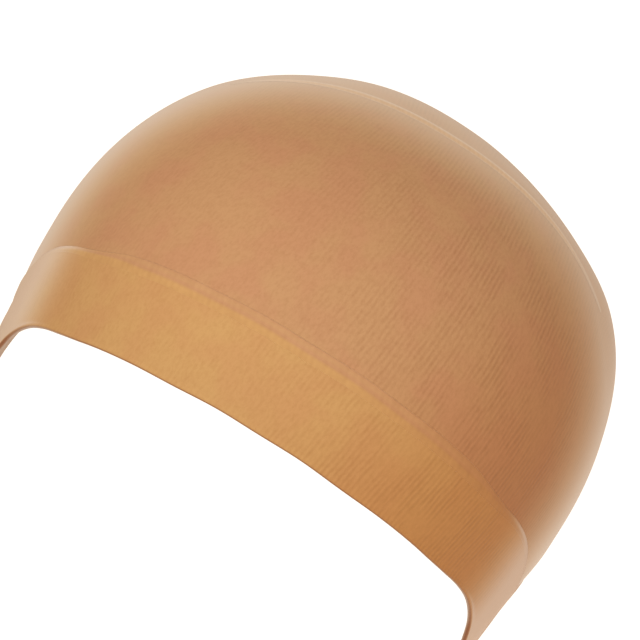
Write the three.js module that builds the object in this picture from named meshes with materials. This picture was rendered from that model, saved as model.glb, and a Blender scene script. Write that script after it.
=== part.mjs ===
// Wig cap of fine rib-knit nylon, in the shape it takes when it is stretched over a head.
// Millimetres, +Z up, the face looks towards -Y. The origin is the inside top of the crown,
// where the head bears.

import * as THREE from "three";
import { mergeVertices } from "three/addons/utils/BufferGeometryUtils.js";

// Head form that fills the cap, measured from its own centre and leaning back by its lean
const HEAD_HALF_BREADTH = 77.5;
const HEAD_FRONT_LENGTH = 92.3;
const HEAD_BACK_LENGTH = 99.5;
const HEAD_TOP_HEIGHT = 73.1;
const HEAD_LOWER_HEIGHT = 116.1;
const HEAD_LEAN = 10.4; // degrees
const HEAD_PLAN_SQUARENESS = 2.19; // 2 is an ellipse, more is squarer
const HEAD_SIDE_SQUARENESS = 2.26;

// Shallow hollow of the head in front of each ear
const TEMPLE_AZIMUTH = 77; // degrees from the middle of the forehead
const TEMPLE_BELOW_CENTRE = 27;
const TEMPLE_REACH = 24;
const TEMPLE_DEPTH = 1.8;

// Gentle swells and flats of the head under the crown
const SWELL_REACH = 30;
const SWELL_RISE = 1.0;

// Lower edge of the cap, measured from the head's centre
const RIM_FRONT_HEIGHT = 19.8;
const RIM_NAPE_DEPTH = 62;

// Knitted walls
const CROWN_WALL = 1.0;
const BAND_WALL = 1.4;
const BAND_WIDTH = 21.0;
const SEWING_GAP = 0.3; // between pieces that are sewn to each other

// Linking seam between band and crown, with a raised line of stitches along each side
const BAND_SEAM_WIDTH = 4.1;
const BAND_SEAM_WALL = 1.3;
const STITCH_LINE_WIDTH = 1.2;
const STITCH_LINE_RISE = 0.55;

// Sewn ridge that closes the knitted tube, side to side over the top
const CLOSING_SEAM_LENGTH = 118;
const CLOSING_SEAM_WIDTH = 5.2;
const CLOSING_SEAM_RISE = 1.5;
const CLOSING_SEAM_SET_BACK = 11; // behind the head's centre

// Soft folds that run along the band in front of each ear
const FOLD_AZIMUTH = 76; // degrees
const FOLD_REACH = 17; // degrees to either side
const FOLD_RISE = 0.8;

// Fineness of the surfaces
const CROWN_WALES = 72;
const CROWN_COURSES = 18;
const RIM_SAMPLES = 180;
const RING_STATIONS = 96;
const RIDGE_STATIONS = 44;
const WALK_STEPS = 6;
const EDGE_SAMPLES = 240;

// The lower edge round the head, by azimuth in degrees from the middle of the forehead. Drop is a
// share of the way from forehead to nape, band and seam are shares of those strips' widths.
const RIM = [
  { azimuth: 0, drop: 0.0, band: 1.0, seam: 1.0 },
  { azimuth: 8, drop: 0.005, band: 1.0, seam: 1.0 },
  { azimuth: 15, drop: 0.028, band: 1.0, seam: 1.0 },
  { azimuth: 23, drop: 0.065, band: 0.985, seam: 1.0 },
  { azimuth: 31, drop: 0.122, band: 0.965, seam: 0.9 },
  { azimuth: 35, drop: 0.158, band: 0.96, seam: 0.72 },
  { azimuth: 39, drop: 0.195, band: 0.96, seam: 0.54 },
  { azimuth: 45, drop: 0.256, band: 0.965, seam: 0.4 },
  { azimuth: 49, drop: 0.309, band: 0.965, seam: 0.36 },
  { azimuth: 52, drop: 0.361, band: 0.965, seam: 0.36 },
  { azimuth: 55, drop: 0.425, band: 0.965, seam: 0.36 },
  { azimuth: 58, drop: 0.506, band: 0.965, seam: 0.36 },
  { azimuth: 61, drop: 0.585, band: 0.965, seam: 0.36 },
  { azimuth: 65, drop: 0.67, band: 0.965, seam: 0.36 },
  { azimuth: 70, drop: 0.735, band: 0.965, seam: 0.38 },
  { azimuth: 76, drop: 0.775, band: 0.965, seam: 0.4 },
  { azimuth: 83, drop: 0.783, band: 0.965, seam: 0.45 },
  { azimuth: 90, drop: 0.765, band: 0.97, seam: 0.5 },
  { azimuth: 97, drop: 0.745, band: 0.975, seam: 0.58 },
  { azimuth: 104, drop: 0.75, band: 0.98, seam: 0.66 },
  { azimuth: 112, drop: 0.775, band: 0.985, seam: 0.76 },
  { azimuth: 120, drop: 0.812, band: 0.99, seam: 0.86 },
  { azimuth: 130, drop: 0.87, band: 1.0, seam: 0.95 },
  { azimuth: 142, drop: 0.927, band: 1.0, seam: 1.0 },
  { azimuth: 158, drop: 0.976, band: 1.0, seam: 1.0 },
  { azimuth: 180, drop: 1.0, band: 1.0, seam: 1.0 },
];

// Swells as seen from the head's centre, by azimuth to the right of the forehead and elevation in
// degrees. Reach and rise are shares of the swells' reach and rise.
const SWELLS = [
  { azimuth: -163, elevation: 55, reach: 1.05, rise: 0.75 },
  { azimuth: 139, elevation: 47, reach: 1.0, rise: -1.1 },
  { azimuth: 112, elevation: 31, reach: 0.95, rise: 0.85 },
  { azimuth: -126, elevation: 45, reach: 0.8, rise: -0.4 },
];

// Section of the band: across is a share of its width from the folded lower edge up, height a
// share of its wall from the head outwards
const BAND_SECTION = [
  { across: 1.0, height: 0.0 },
  { across: 0.66, height: 0.0 },
  { across: 0.33, height: 0.0 },
  { across: 0.03, height: 0.0 },
  { across: 0.0, height: 0.35 },
  { across: 0.0, height: 0.8 },
  { across: 0.025, height: 1.12 },
  { across: 0.07, height: 1.0 },
  { across: 0.22, height: 1.0 },
  { across: 0.36, height: 1.0 },
  { across: 0.5, height: 1.0 },
  { across: 0.64, height: 1.0 },
  { across: 0.78, height: 1.0 },
  { across: 1.0, height: 0.95 },
];

// Height of the folds over the band: across as above, rise a share of the folds' height
const FOLDS = [
  { across: 0.22, spread: 0.13, rise: 0.55 },
  { across: 0.5, spread: 0.13, rise: 1.0 },
  { across: 0.78, spread: 0.13, rise: -0.5 },
];

// Section of a stitch line and of the closing ridge, across from side to side
const ROUNDED = [
  { across: -0.5, height: 0.0 },
  { across: -0.4, height: 0.55 },
  { across: -0.22, height: 0.9 },
  { across: 0.0, height: 1.0 },
  { across: 0.22, height: 0.9 },
  { across: 0.4, height: 0.55 },
  { across: 0.5, height: 0.0 },
];

const degrees = THREE.MathUtils.degToRad;
const lean = degrees(HEAD_LEAN);

// How far round from the middle of the forehead a direction points, in degrees, on either side
function azimuthOf(direction) {
  return THREE.MathUtils.radToDeg(Math.atan2(Math.abs(direction.x), -direction.y));
}

// A smooth bump, 1 in the middle and 0 from its reach on
function bump(distance, reach) {
  const share = Math.min(1, Math.abs(distance) / reach);
  return (1 - share * share) ** 2;
}

// The unit direction at an azimuth and an elevation in radians
function directionAt(azimuth, elevation) {
  const flat = Math.cos(elevation);
  return new THREE.Vector3(Math.sin(azimuth) * flat, -Math.cos(azimuth) * flat, Math.sin(elevation));
}

const templeAngle = degrees(TEMPLE_AZIMUTH);
const swells = SWELLS.map((row) => ({
  middle: directionAt(degrees(row.azimuth), degrees(row.elevation)),
  reach: row.reach * SWELL_REACH,
  rise: row.rise * SWELL_RISE,
}));

// Distance from the head's centre to its surface along a unit direction
function headRadius(direction) {
  const y = direction.y * Math.cos(lean) - direction.z * Math.sin(lean);
  const z = direction.y * Math.sin(lean) + direction.z * Math.cos(lean);
  const length = y < 0 ? HEAD_FRONT_LENGTH : HEAD_BACK_LENGTH;
  const height = z > 0 ? HEAD_TOP_HEIGHT : HEAD_LOWER_HEIGHT;
  const n = HEAD_PLAN_SQUARENESS;
  const m = HEAD_SIDE_SQUARENESS;
  const plan = (Math.abs(direction.x / HEAD_HALF_BREADTH) ** n + Math.abs(y / length) ** n) ** (1 / n);
  const radius = (plan ** m + Math.abs(z / height) ** m) ** (-1 / m);
  const along = radius * (Math.atan2(Math.abs(direction.x), -direction.y) - templeAngle);
  const upwards = radius * direction.z + TEMPLE_BELOW_CENTRE;
  const hollow = TEMPLE_DEPTH * bump(Math.hypot(along, upwards), TEMPLE_REACH);
  const swell = swells.reduce(
    (sum, row) => sum + row.rise * bump(radius * direction.angleTo(row.middle), row.reach),
    0,
  );
  return radius - hollow + swell;
}

function headPoint(direction) {
  return direction.clone().multiplyScalar(headRadius(direction));
}

// Outward normal of the head's surface, from two short steps along it
function headNormal(direction) {
  const step = 0.004;
  const side = new THREE.Vector3(-direction.y, direction.x, 0.001).cross(direction).normalize();
  const other = new THREE.Vector3().crossVectors(direction, side).normalize();
  const ends = [side, other].map((way) => {
    const before = headPoint(direction.clone().addScaledVector(way, -step).normalize());
    return headPoint(direction.clone().addScaledVector(way, step).normalize()).sub(before);
  });
  return ends[0].cross(ends[1]).normalize();
}

// The point that stands a height above the head's surface
function above(direction, height) {
  return headPoint(direction).addScaledVector(headNormal(direction), height);
}

const rimTable = new THREE.CubicInterpolant(
  RIM.map((row) => row.azimuth),
  RIM.flatMap((row) => [row.drop, row.band, row.seam]),
  3,
);
rimTable.settings = { endingStart: THREE.ZeroSlopeEnding, endingEnd: THREE.ZeroSlopeEnding };

// The rim's drop and both strips' widths in millimetres at an azimuth in degrees
function rimRow(azimuth) {
  const [drop, band, seam] = rimTable.evaluate(azimuth);
  return { drop, bandWidth: band * BAND_WIDTH, seamWidth: seam * BAND_SEAM_WIDTH };
}

// The rim's point on the head at an azimuth in radians, found by halving the range of elevation
function rimPoint(azimuth) {
  const { drop } = rimRow(azimuthOf(directionAt(azimuth, 0)));
  const wanted = RIM_FRONT_HEIGHT - drop * (RIM_FRONT_HEIGHT + RIM_NAPE_DEPTH);
  let low = -1.2;
  let high = 1.2;
  let point = null;
  for (let i = 0; i < 40; i += 1) {
    const elevation = (low + high) / 2;
    point = headPoint(directionAt(azimuth, elevation));
    if (point.z < wanted) low = elevation;
    else high = elevation;
  }
  return point;
}

const rimPoints = Array.from({ length: RIM_SAMPLES }, (_, i) =>
  rimPoint((i / RIM_SAMPLES) * 2 * Math.PI),
);
const rim = new THREE.CatmullRomCurve3(rimPoints, true);
rim.arcLengthDivisions = 8 * RIM_SAMPLES;

// The direction reached by walking up the head from the rim, square to it
function walkUp(station, distance) {
  const point = rim.getPointAt(station);
  let direction = point.clone().normalize();
  const heading = headNormal(direction).cross(rim.getTangentAt(station)).normalize();
  for (let i = 0; i < WALK_STEPS; i += 1) {
    point.copy(headPoint(direction)).addScaledVector(heading, distance / WALK_STEPS);
    direction = point.clone().normalize();
    const normal = headNormal(direction);
    heading.addScaledVector(normal, -heading.dot(normal)).normalize();
  }
  return direction;
}

// Skin over rings that hold the same number of points each. The last ring joins the first, or
// the two are filled, or they are shut already.
function skin(rings, ends) {
  const around = rings[0].length;
  const points = rings.flat();
  const index = [];
  const last = ends === "joined" ? rings.length : rings.length - 1;
  for (let i = 0; i < last; i += 1) {
    const next = (i + 1) % rings.length;
    for (let j = 0; j < around; j += 1) {
      const k = (j + 1) % around;
      const corners = [i * around + j, i * around + k, next * around + k, next * around + j];
      const spanA = points[corners[0]].distanceToSquared(points[corners[2]]);
      const spanB = points[corners[1]].distanceToSquared(points[corners[3]]);
      const [a, b, c, d] = corners;
      if (spanA <= spanB) index.push(a, c, b, a, d, c);
      else index.push(a, d, b, b, d, c);
    }
  }
  if (ends === "filled") {
    for (const [ring, flip] of [[0, false], [rings.length - 1, true]]) {
      const centre = points.length;
      const middle = new THREE.Vector3();
      rings[ring].forEach((point) => middle.addScaledVector(point, 1 / around));
      points.push(middle);
      for (let j = 0; j < around; j += 1) {
        const here = ring * around + j;
        const there = ring * around + ((j + 1) % around);
        index.push(centre, flip ? there : here, flip ? here : there);
      }
    }
  }
  const geometry = new THREE.BufferGeometry().setFromPoints(points);
  geometry.setIndex(index);
  const merged = mergeVertices(geometry, 1e-4);
  merged.computeVertexNormals();
  return merged;
}

// A strip that runs round the rim. Its section holds rows with a height above the head, and the
// place of a row says how far up from the rim it lies.
function strip(section, placeOf) {
  const rings = [];
  for (let i = 0; i < RING_STATIONS; i += 1) {
    const station = i / RING_STATIONS;
    const widths = rimRow(azimuthOf(rim.getPointAt(station)));
    rings.push(
      section.map((row) => {
        const direction = walkUp(station, placeOf(row, widths));
        return above(direction, row.height + (row.folds ? foldRise(direction, row.across) : 0));
      }),
    );
  }
  return skin(rings, "joined");
}

// How much the soft folds lift the band's outer face
function foldRise(direction, across) {
  const window = bump(azimuthOf(direction) - FOLD_AZIMUTH, FOLD_REACH);
  const rise = FOLDS.reduce((sum, row) => sum + row.rise * bump(across - row.across, row.spread), 0);
  return FOLD_RISE * window * rise;
}

const bandSection = BAND_SECTION.map((row) => ({
  across: row.across,
  height: row.height * BAND_WALL,
  folds: row.height > 0.9,
}));

function bandPlace(row, widths) {
  return row.across * widths.bandWidth;
}

// Linking seam: a thin strip with a stitch line along each side
const stitchLineShare = STITCH_LINE_WIDTH / BAND_SEAM_WIDTH;

function stitchLine(middle) {
  return ROUNDED.map((row) => ({
    across: middle + row.across * stitchLineShare,
    height: BAND_SEAM_WALL + row.height * STITCH_LINE_RISE,
  }));
}

const seamSection = [
  { across: 1, height: 0 },
  { across: 0, height: 0 },
  ...stitchLine(stitchLineShare / 2),
  ...stitchLine(1 - stitchLineShare / 2),
];

function seamPlace(row, widths) {
  return widths.bandWidth + SEWING_GAP + row.across * widths.seamWidth;
}

// The top of the head tips the knit's centre back by this angle, so that the closing ridge lies
// its set-back behind the head's centre
const seamTilt = Math.atan2(CLOSING_SEAM_SET_BACK, HEAD_TOP_HEIGHT);
const seamPole = new THREE.Vector3(0, Math.sin(seamTilt), Math.cos(seamTilt));
const seamBack = new THREE.Vector3(0, Math.cos(seamTilt), -Math.sin(seamTilt));
const seamRadius = headRadius(seamPole);
const halfSeam = CLOSING_SEAM_LENGTH / 2 / seamRadius;

// A direction from its flat chart: angles to the side and to the back of the ridge's middle
function fromChart(side, back) {
  const angle = Math.hypot(side, back);
  const share = angle > 1e-9 ? Math.sin(angle) / angle : 1;
  return new THREE.Vector3(side * share, 0, 0)
    .addScaledVector(seamBack, back * share)
    .addScaledVector(seamPole, Math.cos(angle));
}

// Course and wale of a direction. Courses are ellipses in the chart whose foci are the ridge's
// ends, so the ridge itself is course 0, and wales are the hyperbolas square to them.
function knitOf(direction) {
  const angle = direction.angleTo(seamPole);
  const share = angle / Math.max(Math.sin(angle), 1e-9);
  const side = direction.x * share;
  const back = direction.dot(seamBack) * share;
  const far = Math.hypot(side + halfSeam, back);
  const near = Math.hypot(side - halfSeam, back);
  const wale = Math.acos(THREE.MathUtils.clamp((far - near) / (2 * halfSeam), -1, 1));
  return { course: Math.acosh((far + near) / (2 * halfSeam)), wale: back < 0 ? -wale : wale };
}

function fromKnit(course, wale) {
  return fromChart(
    halfSeam * Math.cosh(course) * Math.cos(wale),
    halfSeam * Math.sinh(course) * Math.sin(wale),
  );
}

// Course at which each wale meets the crown's lower edge, just above the linking seam
const edge = Array.from({ length: EDGE_SAMPLES }, (_, i) => {
  const station = i / EDGE_SAMPLES;
  const widths = rimRow(azimuthOf(rim.getPointAt(station)));
  return knitOf(walkUp(station, seamPlace({ across: 1 }, widths) + SEWING_GAP));
});
edge.sort((a, b) => a.wale - b.wale);
const turn = 2 * Math.PI;
const before = edge.slice(-3).map((row) => ({ course: row.course, wale: row.wale - turn }));
const after = edge.slice(0, 3).map((row) => ({ course: row.course, wale: row.wale + turn }));
const around = [...before, ...edge, ...after];
const edgeCourse = new THREE.CubicInterpolant(
  around.map((row) => row.wale),
  around.map((row) => row.course),
  1,
);

// One course of the crown as a ring: level is 1 at the lower edge and 0 at the closing ridge
function crownRing(level, height) {
  return Array.from({ length: CROWN_WALES }, (_, i) => {
    const wale = ((i + 0.5) / CROWN_WALES - 0.5) * turn;
    const lowest = edgeCourse.evaluate(wale)[0];
    return above(fromKnit(Math.asinh(Math.sinh(lowest) * level), wale), height);
  });
}

const levels = Array.from({ length: CROWN_COURSES + 1 }, (_, i) => i / CROWN_COURSES);
const crownRings = [
  ...levels.map((level) => crownRing(level, CROWN_WALL)),
  ...levels.toReversed().map((level) => crownRing(level, 0)),
];

// Closing ridge: a rounded section along course 0 that fades towards its ends
const ridgeBase = CROWN_WALL + SEWING_GAP;
const ridgeRings = Array.from({ length: RIDGE_STATIONS + 1 }, (_, i) => {
  const share = (2 * i) / RIDGE_STATIONS - 1;
  const fade = Math.sqrt(1 - 0.92 * share * share);
  return ROUNDED.map((row) => {
    const back = (row.across * CLOSING_SEAM_WIDTH * fade) / seamRadius;
    return above(fromChart(share * halfSeam, back), ridgeBase + row.height * CLOSING_SEAM_RISE * fade);
  });
});

function piece(name, geometry, color, roughness) {
  const material = new THREE.MeshStandardMaterial({ color, roughness, metalness: 0 });
  const mesh = new THREE.Mesh(geometry, material);
  mesh.name = name;
  return mesh;
}

// Highest point of the head, where it bears on the inside of the crown
function highestPoint() {
  let best = headPoint(new THREE.Vector3(0, 0, 1));
  for (let i = -400; i <= 400; i += 1) {
    const point = headPoint(new THREE.Vector3(0, Math.sin(i / 1000), Math.cos(i / 1000)));
    if (point.z > best.z) best = point;
  }
  return best;
}

const onHead = new THREE.Group();
onHead.add(
  piece("crown", skin(crownRings, "shut"), 0xc89169, 0.85),
  piece("band", strip(bandSection, bandPlace), 0xd09b5d, 0.85),
  piece("band_seam", strip(seamSection, seamPlace), 0xd6a468, 0.8),
  piece("closing_seam", skin(ridgeRings, "filled"), 0xcda582, 0.8),
);
onHead.position.copy(highestPoint()).negate();

const cap = new THREE.Group();
cap.add(onHead);

export default cap;
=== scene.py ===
"""Looks of a stocking wig cap of fine rib-knit nylon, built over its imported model.

Metres, +Z up, the front is towards -Y, and the origin is the inside top of the crown.
"""

import bmesh
import bpy
import numpy as np
from mathutils import Matrix, Vector


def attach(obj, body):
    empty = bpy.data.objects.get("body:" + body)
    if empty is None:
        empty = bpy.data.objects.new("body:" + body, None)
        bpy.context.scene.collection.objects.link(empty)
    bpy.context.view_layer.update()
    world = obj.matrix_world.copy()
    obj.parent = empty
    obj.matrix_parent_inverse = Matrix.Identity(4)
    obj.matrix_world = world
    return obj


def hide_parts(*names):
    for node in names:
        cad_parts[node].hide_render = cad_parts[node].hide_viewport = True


bl_info = {
    "name": "Stocking wig cap",
    "version": (1, 0, 0),
    "blender": (4, 5, 0),
    "location": "View3D > Sidebar > Wig cap",
    "description": "Builds the knitted surfaces and finishes of a stocking wig cap",
    "category": "Object",
}

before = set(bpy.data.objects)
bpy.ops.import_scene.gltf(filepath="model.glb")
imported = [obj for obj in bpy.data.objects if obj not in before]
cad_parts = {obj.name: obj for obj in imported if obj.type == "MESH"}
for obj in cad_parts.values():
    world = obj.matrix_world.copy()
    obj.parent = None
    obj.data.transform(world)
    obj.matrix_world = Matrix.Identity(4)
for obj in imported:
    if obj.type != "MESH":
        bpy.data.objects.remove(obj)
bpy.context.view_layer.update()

MM = 0.001
FULL_TURN = 2 * np.pi

# The lower edge all round, by azimuth in degrees from the middle of the front: its drop as a share
# of the way from front to back, then shares of the band's and the linking seam's full widths
RIM = np.array(
    [
        (0, 0.0, 1.0, 1.0),
        (8, 0.005, 1.0, 1.0),
        (15, 0.028, 1.0, 1.0),
        (23, 0.065, 0.985, 1.0),
        (31, 0.122, 0.965, 0.9),
        (35, 0.158, 0.96, 0.72),
        (39, 0.195, 0.96, 0.54),
        (45, 0.256, 0.965, 0.4),
        (49, 0.309, 0.965, 0.36),
        (52, 0.361, 0.96, 0.36),
        (55, 0.425, 0.952, 0.36),
        (58, 0.506, 0.938, 0.36),
        (61, 0.585, 0.92, 0.36),
        (65, 0.67, 0.9, 0.36),
        (70, 0.735, 0.885, 0.38),
        (76, 0.775, 0.875, 0.4),
        (83, 0.783, 0.875, 0.45),
        (90, 0.765, 0.885, 0.5),
        (97, 0.745, 0.9, 0.58),
        (104, 0.75, 0.925, 0.66),
        (112, 0.775, 0.955, 0.76),
        (120, 0.812, 0.99, 0.86),
        (130, 0.87, 1.0, 0.95),
        (142, 0.927, 1.0, 1.0),
        (158, 0.976, 1.0, 1.0),
        (180, 1.0, 1.0, 1.0),
    ]
)

# Swells of the form under the crown: azimuth and elevation in degrees as seen from its centre,
# then shares of the swells' reach and rise
SWELLS = (
    (-163, 55, 1.05, 0.75),
    (139, 47, 1.0, -1.1),
    (112, 31, 0.95, 0.85),
    (-126, 45, 0.8, -0.4),
)

# Soft folds along the band at each side: place across it, spread, and share of the rise
FOLDS = ((0.22, 0.13, 0.55), (0.5, 0.13, 1.0), (0.78, 0.13, -0.5))


def length(name, description, millimetres):
    """A size property, given in millimetres and kept in metres."""
    return bpy.props.FloatProperty(
        name=name,
        description=description,
        default=millimetres * MM,
        precision=5,
        unit="LENGTH",
    )


def turn(name, description, degrees):
    """An angle property, given in degrees and kept in radians."""
    return bpy.props.FloatProperty(
        name=name, description=description, default=np.radians(degrees), unit="ROTATION"
    )


def share(name, description, value):
    """A property without a unit."""
    return bpy.props.FloatProperty(name=name, description=description, default=value)


def colour(name, description, *srgb):
    """A colour property, given as the 0 to 255 values of a screen."""
    s = np.array(srgb) / 255
    linear = np.where(s <= 0.04045, s / 12.92, ((s + 0.055) / 1.055) ** 2.4)
    return bpy.props.FloatVectorProperty(
        name=name,
        description=description,
        default=[float(x) for x in linear],
        min=0,
        max=1,
        subtype="COLOR",
    )


class WigCapForm(bpy.types.PropertyGroup):
    """Sizes of the form that the cap is stretched to, and of its pieces."""

    half_breadth: length("Half breadth", "Form's centre to its side", 77.5)
    front_length: length("Front length", "Form's centre to its front", 92.3)
    back_length: length("Back length", "Form's centre to its back", 99.5)
    top_height: length("Top height", "Form's centre to its top", 73.1)
    lower_height: length("Lower height", "Form's centre to its lower end", 116.1)
    lean: turn("Lean", "How far the form's top leans back", 10.4)
    plan_squareness: share("Plan squareness", "2 is an ellipse, more is squarer", 2.19)
    side_squareness: share("Side squareness", "2 is an ellipse, more is squarer", 2.26)
    hollow_azimuth: turn("Hollow azimuth", "Place of the hollow at each side", 77)
    hollow_below: length("Hollow below", "How far the hollow lies below the centre", 27)
    hollow_reach: length("Hollow reach", "Radius of the hollow", 24)
    hollow_depth: length("Hollow depth", "Depth of the hollow", 1.8)
    swell_reach: length("Swell reach", "Radius of the crown's swells", 30)
    swell_rise: length("Swell rise", "Height of the crown's swells", 1.0)
    rim_front: length("Rim at the front", "Rim's height above the centre", 19.8)
    rim_back: length("Rim at the back", "Rim's depth below the centre", 62)
    crown_wall: length("Crown wall", "Thickness of the crown", 1.0)
    band_wall: length("Band wall", "Thickness of the doubled band", 1.4)
    band_width: length("Band width", "Folded edge to the linking seam", 21.0)
    fold_roll: length("Fold roll", "Radius of the band's rolled lower edge", 0.7)
    sewing_gap: length("Sewing gap", "Between sewn pieces, as in the model", 0.3)
    joint_gap: length("Joint gap", "Between sewn pieces, as they look", 0.006)
    seam_width: length("Linking seam width", "Across both lines of stitches", 4.1)
    seam_wall: length("Linking seam wall", "Thickness between its lines", 1.3)
    line_width: length("Stitch line width", "Across one raised line", 1.2)
    line_rise: length("Stitch line rise", "Height of a raised line", 0.55)
    ridge_length: length("Closing ridge length", "Side to side over the top", 118)
    ridge_width: length("Closing ridge width", "Across the ridge", 7)
    ridge_rise: length("Closing ridge rise", "Height of the ridge", 1.5)
    ridge_back: length("Closing ridge set-back", "Behind the form's centre", 11)
    ridge_gap: length("Closing ridge gap", "Between the ridge and the crown, as it looks", 0.024)
    fold_azimuth: turn("Fold azimuth", "Middle of the band's soft folds", 76)
    fold_reach: turn("Fold reach", "How far the folds run to either side", 17)
    fold_rise: length("Fold rise", "Height of the band's soft folds", 0.8)


class WigCapKnit(bpy.types.PropertyGroup):
    """How the ribs and stitches run."""

    rib_pitch: length("Rib pitch", "Between ribs, along the linking seam", 1.44)
    half_span: share("Half span", "Half the angle that the ribs meet over, radians", 1.38)
    twist: turn("Twist", "How far the knit is turned, seen from the front", 7.3)
    rib_depth: length("Rib depth", "Height of a rib", 0.06)
    line_softness: share("Line softness", "How much of their rise the stitch lines show", 0.35)
    stitch_pitch: length("Stitch pitch", "Between stitches of the linking seam", 1.7)
    ridge_softness: share("Ridge softness", "How much of its rise the ridge shows", 0.42)
    ridge_pitch: length("Ridge pitch", "Between threads of the closing ridge", 1.5)


class WigCapColours(bpy.types.PropertyGroup):
    """Colours of the knit and its threads."""

    crown: colour("Crown", "Crown knit", 187, 138, 96)
    crown_shade: colour("Crown shade", "Crown knit, redder patches", 187, 133, 95)
    # Painted shade: the colour the crown knit turns to towards its +X side and low down
    crown_painted_shade: colour("Crown, deeper", "Crown knit where it is stretched least", 182, 116, 68)
    # Painted shade between the crown's ribs and threads, also the colour of its darker grain
    crown_groove_shade_and_grain: colour("Crown valleys", "Between the crown's ribs", 146, 93, 54)
    band: colour("Band", "Doubled band knit", 194, 146, 92)
    band_shade: colour("Band shade", "Band knit, redder patches", 192, 140, 90)
    # Painted shade: the colour the band knit turns to towards its +X side and low down
    band_painted_shade: colour("Band, deeper", "Band knit where it is stretched least", 191, 125, 67)
    # Painted shade between the band's ribs, also the colour of its darker grain
    band_groove_shade_and_grain: colour("Band valleys", "Between the band's ribs", 158, 102, 52)
    # Painted shade under the band's folded edge
    fold_edge_shade: colour("Fold", "Underside of the band's folded edge", 150, 92, 58)
    line: colour("Stitch line", "Lower line of the linking seam", 196, 146, 92)
    line_above: colour("Upper stitch line", "Upper line of the seam", 192, 142, 98)
    between: colour("Between lines", "Knit between the stitch lines", 189, 137, 97)
    # Painted shade: the colour the linking seam turns to towards its +X side and low down
    seam_painted_shade: colour("Seam, deeper", "Linking seam where it is stretched least", 187, 121, 67)
    # Pale middle of the closing ridge: partly its thread's own colour, partly a painted highlight
    # along its top
    ridge: colour("Closing ridge", "Thread of the closing ridge", 204, 163, 127)
    fuzz: colour("Fuzz", "Pale fibres seen along the edges", 255, 241, 228)
    fuzz_thin: colour("Thin fuzz", "The fibres where their veil is thin", 242, 210, 158)


def form():
    return bpy.context.scene.wig_cap_form


def knit():
    return bpy.context.scene.wig_cap_knit


def colours():
    return bpy.context.scene.wig_cap_colours


# ---- The form that the cap is stretched to


def direction_at(azimuth, elevation):
    """Unit direction from azimuth, 0 at the front and towards +X, and elevation upwards."""
    flat = np.cos(elevation)
    parts = (np.sin(azimuth) * flat, -np.cos(azimuth) * flat, np.sin(elevation))
    return np.stack(np.broadcast_arrays(*parts), -1)


def unit(vectors):
    return vectors / np.linalg.norm(vectors, axis=-1, keepdims=True)


def azimuth_of(direction):
    """Angle from the middle of the front, alike on both sides."""
    return np.arctan2(np.abs(direction[..., 0]), -direction[..., 1])


def bump(distance, reach):
    """Smooth bump: the square of one less the squared share of the reach, and 0 beyond it."""
    part = np.minimum(1, np.abs(distance) / reach)
    return (1 - part * part) ** 2


def form_radius(direction):
    """Distance from the form's centre to its surface.

    The form is a leaning superellipsoid: the powered shares of breadth and length add up to a
    plan share, and that and the height's share, each powered, add up to 1. A bump is taken off
    at each side, and a few gentle bumps are added under the crown.
    """
    f = form()
    x, y0, z0 = np.moveaxis(direction, -1, 0)
    y = y0 * np.cos(f.lean) - z0 * np.sin(f.lean)
    z = y0 * np.sin(f.lean) + z0 * np.cos(f.lean)
    along = np.where(y < 0, f.front_length, f.back_length)
    height = np.where(z > 0, f.top_height, f.lower_height)
    n, m = f.plan_squareness, f.side_squareness
    plan = (np.abs(x / f.half_breadth) ** n + np.abs(y / along) ** n) ** (1 / n)
    radius = (plan**m + np.abs(z / height) ** m) ** (-1 / m)
    sideways = radius * (azimuth_of(direction) - f.hollow_azimuth)
    upwards = radius * z0 + f.hollow_below
    shape = radius - f.hollow_depth * bump(np.hypot(sideways, upwards), f.hollow_reach)
    for azimuth, elevation, reach, rise in SWELLS:
        middle = direction_at(np.radians(azimuth), np.radians(elevation))
        away = radius * np.arccos(np.clip(direction @ middle, -1, 1))
        shape = shape + rise * f.swell_rise * bump(away, reach * f.swell_reach)
    return shape


def form_point(direction):
    return direction * form_radius(direction)[..., None]


def form_normal(direction):
    """Outward normal: the cross product of two short steps along the surface."""
    step = 0.004
    x, y, _ = np.moveaxis(direction, -1, 0)
    side = unit(np.cross(np.stack([-y, x, np.full_like(x, 0.001)], -1), direction))
    other = unit(np.cross(direction, side))
    ends = [
        form_point(unit(direction + way * step)) - form_point(unit(direction - way * step))
        for way in (side, other)
    ]
    return unit(np.cross(*ends))


def above(direction, height):
    """The point a height above the form's surface."""
    lift = np.asarray(height)[..., None] * form_normal(direction)
    return form_point(direction) + lift


def form_centre():
    """The form's centre, which puts its highest point on the middle line at the origin."""
    angle = np.linspace(-0.4, 0.4, 801)
    points = form_point(np.stack([0 * angle, np.sin(angle), np.cos(angle)], -1))
    return -points[points[:, 2].argmax()]


# ---- Rim, and strips that follow it

RIM_SAMPLES = 1441
RIM_SEARCH = 1.2  # radians up and down, within which the rim lies
RIM_HALVINGS = 40


def rim_row(azimuth):
    """Rim's drop and the strips' widths: a smooth curve through the table's rows."""
    table = RIM[:, 0]
    x = np.degrees(azimuth)
    i = np.clip(np.searchsorted(table, x, side="right") - 1, 0, len(table) - 2)
    span = table[i + 1] - table[i]
    t = (x - table[i]) / span
    out = []
    for column in RIM[:, 1:].T:
        slope = np.gradient(column, table)
        slope[[0, -1]] = 0
        a, b = column[i], column[i + 1]
        p, q = slope[i] * span, slope[i + 1] * span
        out.append(a + p * t + (3 * (b - a) - 2 * p - q) * t**2 + (2 * (a - b) + p + q) * t**3)
    drop, band, seam = out
    return drop, band * form().band_width, seam * form().seam_width


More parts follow.
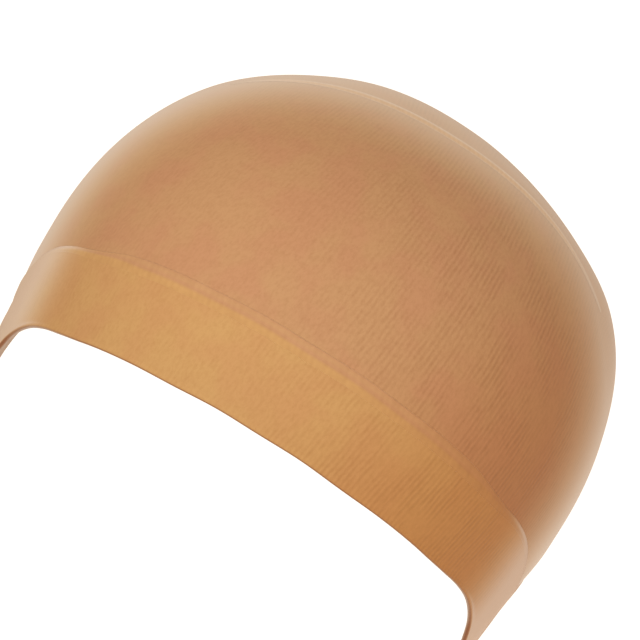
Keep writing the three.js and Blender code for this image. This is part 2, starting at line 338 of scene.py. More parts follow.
def rim_curve(count):
    """Evenly spaced points of the rim and its unit tangents.

    At each azimuth the elevation is halved down on until the point lies at the wanted height.
    """
    f = form()
    azimuth = np.linspace(0, FULL_TURN, RIM_SAMPLES)
    drop = rim_row(azimuth_of(direction_at(azimuth, 0)))[0]
    wanted = f.rim_front - drop * (f.rim_front + f.rim_back)
    low, high = np.full_like(azimuth, -RIM_SEARCH), np.full_like(azimuth, RIM_SEARCH)
    for _ in range(RIM_HALVINGS):
        middle = (low + high) / 2
        under = form_point(direction_at(azimuth, middle))[:, 2] < wanted
        low, high = np.where(under, middle, low), np.where(under, high, middle)
    points = form_point(direction_at(azimuth, low))
    run = np.r_[0, np.cumsum(np.linalg.norm(np.diff(points, axis=0), axis=1))]
    at = np.arange(count) / count * run[-1]
    points = np.stack([np.interp(at, run, p) for p in points.T], -1)
    return points, unit(np.roll(points, -1, 0) - np.roll(points, 1, 0)), at


def walk_up(points, tangents, distance, steps=6):
    """Directions reached from the rim by walking up the form, square to the rim.

    Each step goes a share of the distance along a heading that is kept in the surface.
    """
    direction = unit(points)
    heading = unit(np.cross(form_normal(direction), tangents))
    direction = np.broadcast_to(direction, distance.shape + (3,))
    heading = np.broadcast_to(heading, distance.shape + (3,))
    for _ in range(steps):
        direction = unit(form_point(direction) + heading * (distance / steps)[..., None])
        normal = form_normal(direction)
        heading = unit(heading - (heading * normal).sum(-1, keepdims=True) * normal)
    return direction


def strip(count, across, height, place):
    """A strip round the rim: each row of its section is walked up to its place and lifted.

    Returns its points, one row a section point, the directions and the run along the rim.
    """
    points, tangents, run = rim_curve(count)
    widths = rim_row(azimuth_of(points))[1:]
    distance = place(across[:, None], *(w[None] for w in widths))
    direction = walk_up(points[None], tangents[None], distance)
    return above(direction, height(direction, across[:, None])), direction, run


# ---- How the knit runs

EDGE_SAMPLES = 720
EDGE_ROOM = 1.6  # sewing gaps between the linking seam's nominal width and the crown's edge


def knit_axes():
    """The middle of the knit's top, the way back from it, and the way to the side."""
    f = form()
    tilt = np.arctan2(f.ridge_back, f.top_height)
    axes = np.array(
        [[0, np.sin(tilt), np.cos(tilt)], [0, np.cos(tilt), -np.sin(tilt)], [1, 0, 0]]
    )
    c, s = np.cos(knit().twist), np.sin(knit().twist)
    return axes @ np.array([[c, 0, -s], [0, 1, 0], [s, 0, c]])


def knit_of(direction):
    """Course and wale of a direction, in radians.

    In a flat chart of angles from the knit's middle, the courses are ellipses and the wales
    hyperbolas that share their two foci.
    """
    pole, back, side = knit_axes()
    angle = np.arccos(np.clip(direction @ pole, -1, 1))
    spread = angle / np.maximum(np.sin(angle), 1e-9)
    a = (direction @ side) * spread
    b = (direction @ back) * spread
    half = knit().half_span
    far, near = np.hypot(a + half, b), np.hypot(a - half, b)
    wale = np.arccos(np.clip((far - near) / (2 * half), -1, 1))
    course = np.arccosh(np.maximum((far + near) / (2 * half), 1))
    return course, np.where(b < 0, -wale, wale)


def chart_direction(axes, a, b):
    """A direction from its flat chart: angles to the side and to the back of its middle."""
    pole, back, side = axes
    angle = np.hypot(a, b)[..., None]
    spread = np.where(angle > 1e-9, np.sin(angle) / np.maximum(angle, 1e-9), 1)
    return (a[..., None] * side + b[..., None] * back) * spread + pole * np.cos(angle)


def crown_edge():
    """Wale, course and run of the crown's lower edge, in the order of the wales."""
    f = form()
    points, tangents, _ = rim_curve(EDGE_SAMPLES)
    _, band, seam = rim_row(azimuth_of(points))
    direction = walk_up(points, tangents, band + seam + f.sewing_gap * EDGE_ROOM)
    course, wale = knit_of(direction)
    order = np.argsort(wale)
    edge = form_point(direction)[order]
    steps = np.linalg.norm(np.roll(edge, -1, 0) - edge, axis=1)
    return wale[order], course[order], np.r_[0, np.cumsum(steps)]


def rib_number(wale, edge):
    """Which rib a wale is, counted by even steps along the crown's lower edge."""
    wales, _, run = edge
    ribs = 2 * round(run[-1] / knit().rib_pitch / 2)
    return np.interp(wale, np.r_[wales, wales[0] + FULL_TURN], run / run[-1] * ribs), ribs


# ---- Meshes

SHARP = np.radians(50)  # edges that turn by more stay sharp
MERGED = 1e-6  # points nearer than this become one


def grid_mesh(name, points, u, v, period, closed_along=True, parted=None):
    """A mesh from a grid of points, rows by columns, with a UV map of the values u and v.

    The last row joins the first, and the last column too where closed_along is true. No faces
    join the row parted to the next one. Where u runs over its period inside a face, its low
    corners are raised by the period.
    """
    rows, columns = points.shape[:2]
    i = np.array([i for i in range(rows) if i != parted])[:, None]
    j = np.arange(columns if closed_along else columns - 1)[None]
    i2, j2 = (i + 1) % rows, (j + 1) % columns
    row, row2 = i * columns, i2 * columns
    quads = np.broadcast_arrays(row + j, row + j2, row2 + j2, row2 + j)
    corners = np.stack([corner.ravel() for corner in quads], -1)
    mesh = bpy.data.meshes.new(name)
    flat = points.reshape(-1, 3)
    mesh.from_pydata(flat.tolist(), [], corners.tolist())
    uv = np.stack([u.ravel()[corners], v.ravel()[corners]], -1)
    if period:
        low = uv[:, :, 0] < uv[:, :, 0].max(1, keepdims=True) - period / 2
        uv[:, :, 0] += period * low
    layer = mesh.uv_layers.new(name="knit")
    layer.data.foreach_set("uv", uv.reshape(-1).astype(np.float32))
    return mesh


def finished(mesh, material, node):
    """Puts a mesh into the scene as a piece: seams merged, faces smooth and outward."""
    work = bmesh.new()
    work.from_mesh(mesh)
    bmesh.ops.remove_doubles(work, verts=work.verts, dist=MERGED)
    bmesh.ops.recalc_face_normals(work, faces=work.faces)
    for face in work.faces:
        face.smooth = True
    for edge in work.edges:
        edge.smooth = edge.calc_face_angle(0) < SHARP
    work.to_mesh(mesh)
    work.free()
    mesh.transform(Matrix.Translation(Vector(form_centre())))
    mesh.materials.append(material)
    piece = bpy.data.objects.new(mesh.name, mesh)
    bpy.context.collection.objects.link(piece)
    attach(piece, "root")
    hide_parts(node)
    return piece


# ---- Finishes

# Constants of the fibre, of the fuzz over it, and of the floor's paint
FIBRE = {
    "Roughness": 0.85,
    "Specular IOR Level": 0.3,
    "Sheen Weight": 0.12,
    "Sheen Roughness": 0.4,
}
FUZZ = {"Roughness": 1.0, "Specular IOR Level": 0.0}
PAINT = {"Roughness": 0.9, "Specular IOR Level": 0.1}
FLOOR_COLOUR = (0.93, 0.93, 0.93)
WHITE = (1, 1, 1)

# The veil of fuzz: one less the cosine of the angle of view where it starts and is full, and its
# share where it is full
CROWN_VEIL = (0.48, 0.97, 0.67)
BAND_VEIL = (0.47, 0.75, 0.43)
RIDGE_VEIL = (0.35, 0.8, 0.56)

# Noise over the knit: its rate across the ribs, its rate along them, and its layer
PATCH = (0.1, 0.06, 0.0)
STREAK = (0.7, 0.12, 5.0)
WAVER = (0.25, 0.1, 7.0)
GRAIN = (1.5, 0.6, 3.0)

# Where patches and streaks of ribs start to show and show in full, and how far ribs waver
PATCH_SHOWS = (0.25, 0.6)
STREAK_SHOWS = (0.2, 0.6)
WAVER_WIDTH = 0.5

# Where the ribs lie flattest, how far away they start and are full, in metres, and their least
FLAT_PLACE = (-0.05, -0.06, -0.03)
FLAT_REACH = (0.03, 0.1)
FLAT_LEAST = 0.2

# Painted shade towards the +X side and downwards: where it starts and is full, in metres to the
# side, how much a metre down counts, and its greatest share
SHADE_SIDE = (0.02, 0.12)
SHADE_DOWN = 0.7
SHADE_MOST = 0.9

# Soft patches of the second tint: scale, detail and roughness of their noise, and its range
TINT_NOISE = (75.0, 2.0, 0.55)
TINT_SHOWS = (0.36, 0.66)

# Shares of the painted shade between ribs and of the darker grain, the grain's level, and its
# share in relief
GAP_SHADE = 0.3
GRAIN_SHADE = 0.62
GRAIN_LEVEL = 0.58
GRAIN_RELIEF = 0.3

# Where the painted shade under the band's folded edge gives way to the band's colour, in
# millimetres from the lower edge
FOLD_SHADE_REACH = (0.1, 0.7)

# Threads of both seams: how far they wander, the level and share of the dark in them
THREAD_WANDER = 0.5
THREAD_LEVEL = 0.65
THREAD_SHADE = 0.4

# Linking seam: its noise, the slant of its stitches, their painted shade, and its relief
SEAM_NOISE = (420.0, 2.0)
SEAM_SLANT = 0.6
SEAM_SHADE = 0.06
SEAM_RELIEF = 0.08 * MM
STITCH_RELIEF = 0.35
LOWER_LINE = (0.3, 0.56)
UPPER_LINE = 0.78
UPPER_LINE_REACH = (0.02, 0.22)
UPPER_LINE_SHARE = 0.8

# Closing ridge: its noise, the slant of its threads, their painted shade, its relief, and its
# edges, where its pale middle, partly a painted highlight, fades to the crown's colour
RIDGE_NOISE = (380.0, 2.0)
RIDGE_SLANT = 1.4
RIDGE_SHADE = 0.1
RIDGE_RELIEF = 0.1 * MM
THREAD_RELIEF = 0.5
RIDGE_EDGE = (0.36, 0.5)
RIDGE_EDGE_SHARE = 0.5


class Value:
    """A shader socket that takes part in Python's arithmetic."""

    def __init__(self, finish, socket):
        self.finish = finish
        self.socket = socket

    def math(self, operation, *values):
        made = self.finish.node(
            "ShaderNodeMath", {"operation": operation}, dict(enumerate(values))
        )
        return Value(self.finish, made.outputs[0])

    def __add__(self, other):
        return self.math("ADD", self, other)

    def __radd__(self, other):
        return self.math("ADD", other, self)

    def __sub__(self, other):
        return self.math("SUBTRACT", self, other)

    def __rsub__(self, other):
        return self.math("SUBTRACT", other, self)

    def __mul__(self, other):
        return self.math("MULTIPLY", self, other)

    def __rmul__(self, other):
        return self.math("MULTIPLY", other, self)

    def ripple(self):
        """A cosine wave from 1 down to 0 and back, once for each whole number."""
        return self.math("COSINE", self * FULL_TURN) * 0.5 + 0.5

    def abs(self):
        return self.math("ABSOLUTE", self)

    def clamped(self):
        made = self.finish.node("ShaderNodeClamp", {}, {"Value": self})
        return Value(self.finish, made.outputs[0])

    def between(self, low, high):
        """0 at low, 1 at high, smooth in the middle."""
        made = self.finish.node(
            "ShaderNodeMapRange",
            {"interpolation_type": "SMOOTHSTEP"},
            {"Value": self, "From Min": low, "From Max": high},
        )
        return Value(self.finish, made.outputs[0])


class Finish:
    """One material and its nodes."""

    def __init__(self, name):
        self.material = bpy.data.materials.new(name)
        self.material.use_nodes = True
        self.tree = self.material.node_tree
        self.tree.nodes.clear()

    def node(self, kind, settings, sockets):
        """Makes a node: its settings first, then the values or links of its sockets."""
        made = self.tree.nodes.new(kind)
        for key, value in settings.items():
            setattr(made, key, value)
        for key, value in sockets.items():
            socket = made.inputs[key]
            if isinstance(value, Value):
                value = value.socket
            if isinstance(value, bpy.types.NodeSocket):
                self.tree.links.new(value, socket)
            elif socket.type == "RGBA":
                socket.default_value = (*value[:3], 1)
            else:
                socket.default_value = value
        return made

    def knit_place(self):
        """The rib's number and the millimetres along it, from the piece's own UV map."""
        uv = self.node("ShaderNodeUVMap", {"uv_map": "knit"}, {})
        parts = self.node("ShaderNodeSeparateXYZ", {}, {0: uv.outputs[0]})
        return Value(self, parts.outputs[0]), Value(self, parts.outputs[1])

    def object_place(self):
        return self.node("ShaderNodeTexCoord", {}, {}).outputs["Object"]

    def vector(self, x, y, z):
        return self.node("ShaderNodeCombineXYZ", {}, {0: x, 1: y, 2: z}).outputs[0]

    def noise(self, vector, scale, detail=2.0, roughness=0.5):
        """Soft noise from about 0 to 1."""
        made = self.node(
            "ShaderNodeTexNoise",
            {},
            {"Vector": vector, "Scale": scale, "Detail": detail, "Roughness": roughness},
        )
        return Value(self, made.outputs[0])

    def blend(self, factor, first, second):
        """A colour between two, by a factor from 0 to 1."""
        made = self.node("ShaderNodeMix", {"data_type": "RGBA"}, {0: factor, 6: first, 7: second})
        return made.outputs[2]

    def knit_noise(self, across, along, rates, *settings):
        """Noise with its own rates across and along the ribs, and a layer that sets it apart."""
        sideways, lengthways, layer = rates
        place = self.vector(across * sideways, along * lengthways, layer)
        return self.noise(place, *settings)

    def bumped(self, height, distance):
        made = self.node("ShaderNodeBump", {}, {"Height": height, "Distance": distance})
        return made.outputs[0]

    def cloth(self, base, normal, veil):
        """Matte fibre under a veil of pale fuzz, which shows as a sheen at grazing angles."""
        pale = tuple(colours().fuzz)
        knitted = self.node(
            "ShaderNodeBsdfPrincipled",
            {},
            {"Base Color": base, "Normal": normal, "Sheen Tint": pale, **FIBRE},
        )
        weight = self.node("ShaderNodeLayerWeight", {}, {"Blend": 0.5})
        slant = Value(self, weight.outputs["Facing"])
        start, full, most = veil
        amount = slant.between(start, full) * most
        tint = self.blend(slant.between(start, full), tuple(colours().fuzz_thin), pale)
        fuzz = self.node(
            "ShaderNodeBsdfPrincipled",
            {},
            {"Base Color": tint, **FUZZ},
        )
        both = self.node(
            "ShaderNodeMixShader", {}, {0: amount, 1: knitted.outputs[0], 2: fuzz.outputs[0]}
        )
        self.node("ShaderNodeOutputMaterial", {}, {"Surface": both.outputs[0]})
        return self.material


def mirrored(rib, ribs):
    """A coordinate across the ribs that has no jump where their numbers start again."""
    return (rib - ribs / 2).abs()


def knit_relief(finish, rib, along, ribs):
    """Relief of rib knit, the painted shade between its ribs, and the stitches' grain.

    The relief is a cosine across the ribs. Noise drawn out along them breaks it up, and it lies
    flat near the front corner on the -X side.
    """
    across = mirrored(rib, ribs)
    patch = finish.knit_noise(across, along, PATCH, 1.0, 2.0)
    streak = finish.knit_noise(across, along, STREAK, 1.0, 2.0)
    waver = finish.knit_noise(across, along, WAVER, 1.0, 1.0)
    grain = finish.knit_noise(across, along, GRAIN, 1.2, 2.0, 0.7)
    away = finish.node(
        "ShaderNodeVectorMath",
        {"operation": "DISTANCE"},
        {0: finish.object_place(), 1: FLAT_PLACE},
    )
    flat = Value(finish, away.outputs["Value"]).between(*FLAT_REACH)
    flat = flat * (1 - FLAT_LEAST) + FLAT_LEAST
    strength = patch.between(*PATCH_SHOWS) * streak.between(*STREAK_SHOWS) * flat
    wave = (rib + waver * WAVER_WIDTH).ripple()
    relief = wave * strength + grain * GRAIN_RELIEF
    # gap is painted shade, darkest midway between the ribs
    gap = (1 - wave) * strength
    return relief, gap, grain


def with_painted_side_shade(finish, base, side_shade):
    """A colour darkened by painted shade towards the +X side and downwards."""
    place = finish.node("ShaderNodeSeparateXYZ", {}, {0: finish.object_place()})
    side, height = Value(finish, place.outputs[0]), Value(finish, place.outputs[2])
    share = (side - height * SHADE_DOWN).between(*SHADE_SIDE) * SHADE_MOST
    return finish.blend(share, base, tuple(side_shade))


def tinted(finish, first, second, side_shade, groove_shade_and_grain, gap, grain):
    """Two tints in soft patches, with painted shade to one side and between ribs, and darker in
    the grain.
    """
    patches = finish.noise(finish.object_place(), *TINT_NOISE).between(*TINT_SHOWS)
    base = with_painted_side_shade(finish, finish.blend(patches, tuple(first), tuple(second)), side_shade)
    # Painted shade between the ribs, and darker grain that differs at random
    dark = (gap * GAP_SHADE + (GRAIN_LEVEL - grain) * GRAIN_SHADE).clamped()
    return finish.blend(dark, base, tuple(groove_shade_and_grain))


def threaded(finish, base, wave, uneven, depth):
    """A colour with painted shade between its threads, and darker in its uneven spots."""
    shade = ((1 - wave) * depth + (THREAD_LEVEL - uneven) * THREAD_SHADE).clamped()
    return finish.blend(shade, base, tuple(colours().crown_groove_shade_and_grain))


def crown_finish(ribs):
    c = colours()
    finish = Finish("crown_knit")
    rib, along = finish.knit_place()
    relief, gap, grain = knit_relief(finish, rib, along, ribs)
    base = tinted(finish, c.crown, c.crown_shade, c.crown_painted_shade, c.crown_groove_shade_and_grain, gap, grain)
    return finish.cloth(base, finish.bumped(relief, knit().rib_depth), CROWN_VEIL)


def band_finish(ribs):
    c = colours()
    finish = Finish("band_knit")
    rib, along = finish.knit_place()
    relief, gap, grain = knit_relief(finish, rib, along, ribs)
    base = tinted(finish, c.band, c.band_shade, c.band_painted_shade, c.band_groove_shade_and_grain, gap, grain)
    # Painted shade under the band's folded edge, full over its lowest 0.1 mm and gone by 0.7 mm
    under = 1 - along.between(*FOLD_SHADE_REACH)
    base = finish.blend(under, base, tuple(c.fold_edge_shade))
    return finish.cloth(base, finish.bumped(relief, knit().rib_depth), BAND_VEIL)


def seam_finish():
    """Linking seam: u counts stitches, v is the share across, 0 at the lower line."""
    c = colours()
    finish = Finish("seam_thread")
    stitch, across = finish.knit_place()
    uneven = finish.noise(finish.object_place(), *SEAM_NOISE)
    wave = (stitch + across * SEAM_SLANT + uneven * THREAD_WANDER).ripple()
    lower = 1 - across.between(*LOWER_LINE)
    upper = (1 - (across - UPPER_LINE).abs().between(*UPPER_LINE_REACH)) * UPPER_LINE_SHARE
    base = finish.blend(upper, tuple(c.between), tuple(c.line_above))
    base = finish.blend(lower, base, tuple(c.line))
    # Painted shade towards the +X side and downwards
    base = with_painted_side_shade(finish, base, c.seam_painted_shade)
    # Painted shade between the seam's stitches, and darker uneven spots
    base = threaded(finish, base, wave, uneven, SEAM_SHADE)
    relief = wave * (lower + upper) * STITCH_RELIEF + uneven
    return finish.cloth(base, finish.bumped(relief, SEAM_RELIEF), BAND_VEIL)


def ridge_finish():
    """Closing ridge: u counts threads, v is the share across."""
    c = colours()
    finish = Finish("closing_thread")
    thread, across = finish.knit_place()
    uneven = finish.noise(finish.object_place(), *RIDGE_NOISE)
    wave = (thread + across * RIDGE_SLANT + uneven * THREAD_WANDER).ripple()
    # The ridge colour along the middle is partly the thread's own and partly a painted highlight
    # on the ridge's top; the edges turn half way back to the crown's colour
    edge = (across - 0.5).abs().between(*RIDGE_EDGE) * RIDGE_EDGE_SHARE
    base = finish.blend(edge, tuple(c.ridge), tuple(c.crown))
    base = threaded(finish, base, wave, uneven, RIDGE_SHADE)
    relief = wave * THREAD_RELIEF + uneven
    return finish.cloth(base, finish.bumped(relief, RIDGE_RELIEF), RIDGE_VEIL)


# ---- Pieces

# Columns and rows of the grids
CROWN_COLUMNS = 360
CROWN_OUTER_ROWS, CROWN_INNER_ROWS = 97, 33
BAND_COLUMNS = 720
BAND_INNER_ROWS, BAND_ROLL_ROWS, BAND_TURN_ROWS, BAND_OUTER_ROWS = 12, 9, 4, 30
SEAM_COLUMNS = 1200
SEAM_OUTER_ROWS, SEAM_INNER_ROWS = 41, 6
RIDGE_COLUMNS = 241
RIDGE_OUTER_ROWS, RIDGE_INNER_ROWS = 19, 5

# The band's folded edge: half its thickness as a share of the wall, shares of the width over which
# it turns into the flat band, and how far its bulge reaches
FOLD_BULGE = 0.56
FOLD_END, FLAT_START = 0.08, 0.11
BULGE_REACH = 0.045
OUTER_LAYER = 0.9  # rises above this share of the wall are on the outside

# The linking seam's two lines and the one they merge into: places across, reach and height
LOWER_RIDGE = 0.29
UPPER_RIDGE, UPPER_REACH, UPPER_HEIGHT = 0.76, 0.24, 0.6
SINGLE_RIDGE, SINGLE_REACH, SINGLE_HEIGHT = 0.5, 0.5, 0.5

# Shares of its full width where the seam starts to have one line, and over which it gets there;
# then where the pattern across it starts there, and the place that it is held at up to
MERGE_START, MERGE_SPAN = 0.85, 0.45
SINGLE_START, SINGLE_HELD = 0.2, 0.4

# The closing ridge: how much of its width fades at its ends, how far its inner side reaches
# from its middle, and how sharp its top is
RIDGE_FADE = 0.92
RIDGE_INNER_REACH = 0.4
RIDGE_SHARPNESS = 1.6


class WIGCAP_OT_crown(bpy.types.Operator):
    """Rib-knit shell of the crown, one layer"""

    bl_idname = "wigcap.crown"
    bl_label = "Build crown"

    def execute(self, context):
        f = form()
        edge = crown_edge()
        wales, courses, _ = edge
        columns = CROWN_COLUMNS
        wale = ((np.arange(columns) + 0.5) / columns * 2 - 1) * np.pi
        around = np.r_[wales[-3:] - FULL_TURN, wales, wales[:3] + FULL_TURN]
        lowest = np.interp(wale, around, np.r_[courses[-3:], courses, courses[:3]])
        outer = np.linspace(1, 0, CROWN_OUTER_ROWS)
        inner = np.linspace(0, 1, CROWN_INNER_ROWS)
        level = np.r_[outer, inner][:, None]
        height = np.r_[np.full(len(outer), f.crown_wall), np.zeros(len(inner))][:, None]
        course = np.arcsinh(np.sinh(lowest) * level)
        half = knit().half_span
        a = half * np.cosh(course) * np.cos(wale)
        b = half * np.sinh(course) * np.sin(wale)
        direction = chart_direction(knit_axes(), a, b)
        points = above(direction, np.broadcast_to(height, a.shape))
        rib, ribs = rib_number(wale, edge)
        inside = form_point(direction)
        steps = np.linalg.norm(np.diff(inside, axis=0), axis=-1)
        run = np.concatenate([np.zeros((1, columns)), np.cumsum(steps, 0)])
        along = np.abs(run - run[len(outer) - 1]) / MM
        u = np.broadcast_to(rib, a.shape)
        mesh = grid_mesh("crown_shell", points, u, along, ribs, parted=len(outer) - 1)
        finished(mesh, crown_finish(ribs), "crown")
        return {"FINISHED"}


class WIGCAP_OT_band(bpy.types.Operator):
    """Doubled band with its folded lower edge"""

    bl_idname = "wigcap.band"
    bl_label = "Build band"

    def execute(self, context):
        f = form()
        roll = f.fold_roll / f.band_width
        round_edge = np.linspace(-np.pi / 2, np.pi / 2, BAND_ROLL_ROWS + 2)[1:-1]
        inner = np.linspace(1, roll, BAND_INNER_ROWS)
        turned = np.linspace(roll, FOLD_END, BAND_TURN_ROWS)
        outer = np.r_[turned, np.linspace(FLAT_START, 1, BAND_OUTER_ROWS)]
        across = np.r_[inner, roll * (1 - np.cos(round_edge)), outer]
        rise = np.r_[
            np.zeros(len(inner)),
            FOLD_BULGE * (1 + np.sin(round_edge)),
            1 + (2 * FOLD_BULGE - 1) * bump(outer - roll, BULGE_REACH),
        ][:, None]
        folded = rise > OUTER_LAYER

        def height(direction, place):
            window = bump(azimuth_of(direction) - f.fold_azimuth, f.fold_reach)
            lift = sum(part * bump(place - middle, spread) for middle, spread, part in FOLDS)
            return rise * f.band_wall + folded * window * lift * f.fold_rise

        def place(part, band, seam):
            return part * (band + (f.sewing_gap - f.joint_gap) / 2)

        points, direction, _ = strip(BAND_COLUMNS, across, height, place)
        rib, ribs = rib_number(knit_of(direction)[1], crown_edge())
        along = np.broadcast_to(across[:, None] * f.band_width / MM, rib.shape)
        mesh = grid_mesh("band_knit_fold", points, rib, along, ribs)
        finished(mesh, band_finish(ribs), "band")
        return {"FINISHED"}


class WIGCAP_OT_band_seam(bpy.types.Operator):
    """Linking seam with a raised line of stitches along each side"""

    bl_idname = "wigcap.band_seam"
    bl_label = "Build linking seam"

    def execute(self, context):
        f, k = form(), knit()
        across = np.r_[np.linspace(0, 1, SEAM_OUTER_ROWS), np.linspace(1, 0, SEAM_INNER_ROWS)]
        outside = np.r_[np.ones(SEAM_OUTER_ROWS), np.zeros(SEAM_INNER_ROWS)][:, None]
        reach = f.line_width / f.seam_width
        spare = f.sewing_gap / 2 - f.joint_gap

        def merged(direction):
            """0 where the seam is wide and has two lines, 1 where it narrows to one."""
            narrow = rim_row(azimuth_of(direction))[2] / f.seam_width
            t = np.clip((MERGE_START - narrow) / MERGE_SPAN, 0, 1)
            return t * t * (3 - 2 * t)

        def height(direction, part):
            upper = UPPER_HEIGHT * bump(part - UPPER_RIDGE, UPPER_REACH)
            two = bump(part - LOWER_RIDGE, reach) + upper
            one = SINGLE_HEIGHT * bump(part - SINGLE_RIDGE, SINGLE_REACH)
            t = merged(direction)
            rise = (two * (1 - t) + one * t) * f.line_rise
            wall = f.band_wall + (f.crown_wall - f.band_wall) * part
            return outside * (wall + rise * k.line_softness)

        def place(part, band, seam):
            return band + f.sewing_gap - spare + part * (seam + 2 * spare)

        points, direction, run = strip(SEAM_COLUMNS, across, height, place)
        stitches = round(run[-1] / k.stitch_pitch)
        u = np.broadcast_to(np.arange(len(run)) / len(run) * stitches, points.shape[:2])
        t = merged(direction)
        single = SINGLE_START + np.maximum(across[:, None] - SINGLE_HELD, 0)
        v = across[:, None] * (1 - t) + single * t
        mesh = grid_mesh("band_linking_seam", points, u, v, stitches)
        finished(mesh, seam_finish(), "band_seam")
        return {"FINISHED"}


class WIGCAP_OT_closing_seam(bpy.types.Operator):
    """Sewn ridge that closes the knit, side to side over the top"""

    bl_idname = "wigcap.closing_seam"
    bl_label = "Build closing ridge"

    def execute(self, context):
        f, k = form(), knit()
        tilt = np.arctan2(f.ridge_back, f.top_height)
        pole = np.array([0, np.sin(tilt), np.cos(tilt)])
        axes = (pole, np.array([0, np.cos(tilt), -np.sin(tilt)]), np.array([1.0, 0, 0]))
        radius = form_radius(pole)
        half = f.ridge_length / 2 / radius
        part = np.linspace(-1, 1, RIDGE_COLUMNS)[None]
        fade = np.sqrt(1 - RIDGE_FADE * part**2)
        sink = k.ridge_softness * (1 - part**2)
        dome = np.linspace(-0.5, 0.5, RIDGE_OUTER_ROWS)
        below = np.linspace(RIDGE_INNER_REACH, -RIDGE_INNER_REACH, RIDGE_INNER_ROWS)
        across = np.r_[dome, below][:, None]
        rise = np.r_[np.cos(dome * np.pi) ** RIDGE_SHARPNESS, 0 * below][:, None]
        back = across * f.ridge_width * fade / radius
        direction = chart_direction(axes, part * half + 0 * back, back)
        base = f.crown_wall + f.ridge_gap
        points = above(direction, base + rise * f.ridge_rise * sink)
        middle = points.mean(0, keepdims=True)
        for end in (0, -1):
            points[:, end] = middle[:, end]
        u = np.broadcast_to((part + 1) / 2 * f.ridge_length / k.ridge_pitch, points.shape[:2])
        v = np.broadcast_to(across + 0.5, points.shape[:2])
        mesh = grid_mesh("closing_ridge", points, u, v, 0, closed_along=False)
        finished(mesh, ridge_finish(), "closing_seam")
        return {"FINISHED"}


# ---- Stage

SENSOR = 36  # millimetres
FLOOR_HALF = 5.0
KEY_SIZE, BACK_SIZE = 0.6, 0.9

# Ways from the aimed point to the lights, in metres along the camera's right, up and back
KEY_WAY = (-0.18, 0.25, 1.05)
BACK_WAY = (0.35, -0.75, -0.5)


class WigCapStage(bpy.types.PropertyGroup):
    """Camera and light."""

    elevation: turn("Elevation", "Camera above the horizon", 24.2255)
    azimuth: turn("Azimuth", "Camera round from the front", 2.1207)
    roll: turn("Roll", "Camera turned about its view", 30.8598)
    distance: length("Distance", "Camera from the aimed point", 1100)
    lens: share("Lens", "Focal length in millimetres on a 36 mm sensor", 232.2135)
    aim_right: length("Aim right", "Aimed point, right of the form's centre", 2.413)
    aim_up: length("Aim up", "Aimed point, above the form's centre", 13.361)
    floor_depth: length("Floor depth", "Floor below the origin", 950)
    key_power: bpy.props.FloatProperty(
        name="Key", description="Power of the main light", default=8.9, unit="POWER"
    )
    back_power: bpy.props.FloatProperty(
        name="Back light", description="Power of the light behind", default=5.5, unit="POWER"
    )
    world_strength: share("World", "Strength of the light from all round", 0.58)
    world_tint: colour("World tint", "Colour of the light from all round", 255, 236, 214)
    key_tint: colour("Key tint", "Colour of the main light", 238, 252, 255)
    floor_glow: share("Floor glow", "Light that the floor gives off by itself", 0.7)


def view_axes():
    """Right, up and back of the camera: the level ones turned about the view by the roll."""
    s = bpy.context.scene.wig_cap_stage
    back = direction_at(s.azimuth, s.elevation)
    right = unit(np.cross(-back, [0, 0, 1]))
    up = np.cross(right, -back)
    c, q = np.cos(s.roll), np.sin(s.roll)
    return c * right + q * up, -q * right + c * up, back


def placed(thing, position, right, up, back):
    """Turns a camera or a light so that it looks against its back."""
    turned = Matrix(np.stack([right, up, back], 1).tolist()).to_4x4()
    thing.matrix_world = Matrix.Translation(Vector(position)) @ turned
    bpy.context.collection.objects.link(thing)
    return thing


def soft_light(name, power, tint, size, target, way):
    """A square area light that shines from a place towards a target."""
    light = bpy.data.lights.new(name, "AREA")
    light.energy = power
    light.color = tint
    light.size = size
    back = unit(way)
    right = unit(np.cross([0, 0, 1], back))
    thing = bpy.data.objects.new(name, light)
    thing.visible_camera = False
    return placed(thing, target + way, right, np.cross(back, right), back)


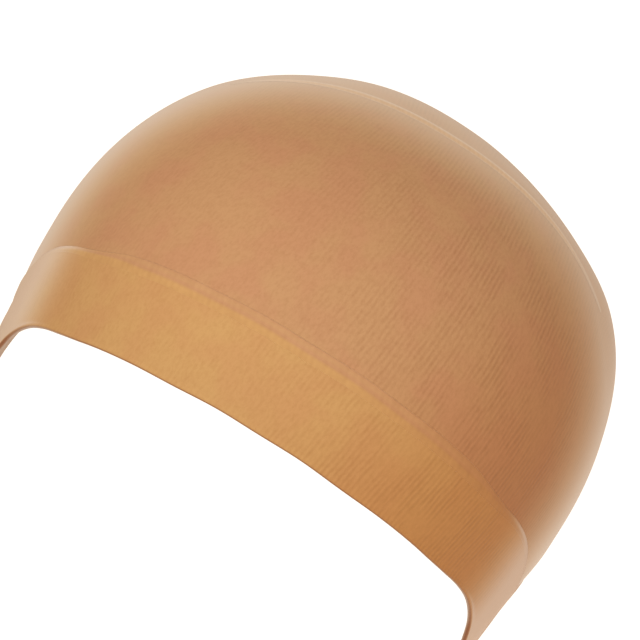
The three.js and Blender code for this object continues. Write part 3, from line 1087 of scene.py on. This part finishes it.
class WIGCAP_OT_stage(bpy.types.Operator):
    """Pale floor, soft light and the camera"""

    bl_idname = "wigcap.stage"
    bl_label = "Build stage"

    def execute(self, context):
        scene = context.scene
        s = scene.wig_cap_stage
        right, up, back = view_axes()
        target = form_centre() + right * s.aim_right + up * s.aim_up
        camera = bpy.data.cameras.new("camera")
        camera.sensor_width = SENSOR
        camera.lens = s.lens
        thing = bpy.data.objects.new("camera", camera)
        scene.camera = placed(thing, target + back * s.distance, right, up, back)

        mesh = bpy.data.meshes.new("floor")
        sides = ((-1, -1), (1, -1), (1, 1), (-1, 1))
        corners = [(x * FLOOR_HALF, y * FLOOR_HALF, -s.floor_depth) for x, y in sides]
        mesh.from_pydata(corners, [], [(0, 1, 2, 3)])
        finish = Finish("floor_paint")
        shader = finish.node(
            "ShaderNodeBsdfPrincipled",
            {},
            {
                "Base Color": FLOOR_COLOUR,
                "Emission Color": WHITE,
                "Emission Strength": s.floor_glow,
                **PAINT,
            },
        )
        finish.node("ShaderNodeOutputMaterial", {}, {"Surface": shader.outputs[0]})
        mesh.materials.append(finish.material)
        floor = bpy.data.objects.new("floor", mesh)
        scene.collection.objects.link(floor)
        floor.visible_diffuse = False
        floor.visible_glossy = False
        floor.visible_shadow = False

        world = bpy.data.worlds.new("studio")
        world.use_nodes = True
        surround = world.node_tree.nodes["Background"]
        surround.inputs["Color"].default_value = (*s.world_tint, 1)
        surround.inputs["Strength"].default_value = s.world_strength
        scene.world = world
        axes = np.stack([right, up, back])
        key_way, back_way = KEY_WAY @ axes, BACK_WAY @ axes
        soft_light("key_light", s.key_power, s.key_tint, KEY_SIZE, target, key_way)
        soft_light("back_light", s.back_power, s.key_tint, BACK_SIZE, target, back_way)
        scene.view_settings.view_transform = "Standard"
        return {"FINISHED"}


class WIGCAP_PT_panel(bpy.types.Panel):
    """Lists the sizes, colours and steps"""

    bl_label = "Wig cap"
    bl_idname = "WIGCAP_PT_panel"
    bl_space_type = "VIEW_3D"
    bl_region_type = "UI"
    bl_category = "Wig cap"

    def draw(self, context):
        for operator in OPERATORS:
            self.layout.operator(operator.bl_idname)
        for name, group in GROUPS.items():
            box = self.layout.box()
            for prop in group.__annotations__:
                box.prop(getattr(context.scene, name), prop)


GROUPS = {
    "wig_cap_form": WigCapForm,
    "wig_cap_knit": WigCapKnit,
    "wig_cap_colours": WigCapColours,
    "wig_cap_stage": WigCapStage,
}
OPERATORS = (
    WIGCAP_OT_crown,
    WIGCAP_OT_band,
    WIGCAP_OT_band_seam,
    WIGCAP_OT_closing_seam,
    WIGCAP_OT_stage,
)


def register():
    for name, group in GROUPS.items():
        bpy.utils.register_class(group)
        setattr(bpy.types.Scene, name, bpy.props.PointerProperty(type=group))
    for operator in OPERATORS:
        bpy.utils.register_class(operator)
    bpy.utils.register_class(WIGCAP_PT_panel)


def unregister():
    bpy.utils.unregister_class(WIGCAP_PT_panel)
    for operator in reversed(OPERATORS):
        bpy.utils.unregister_class(operator)
    for name, group in reversed(GROUPS.items()):
        delattr(bpy.types.Scene, name)
        bpy.utils.unregister_class(group)


def main():
    register()
    bpy.ops.wigcap.crown()
    bpy.ops.wigcap.band()
    bpy.ops.wigcap.band_seam()
    bpy.ops.wigcap.closing_seam()
    bpy.ops.wigcap.stage()


if __name__ == "__main__":
    main()
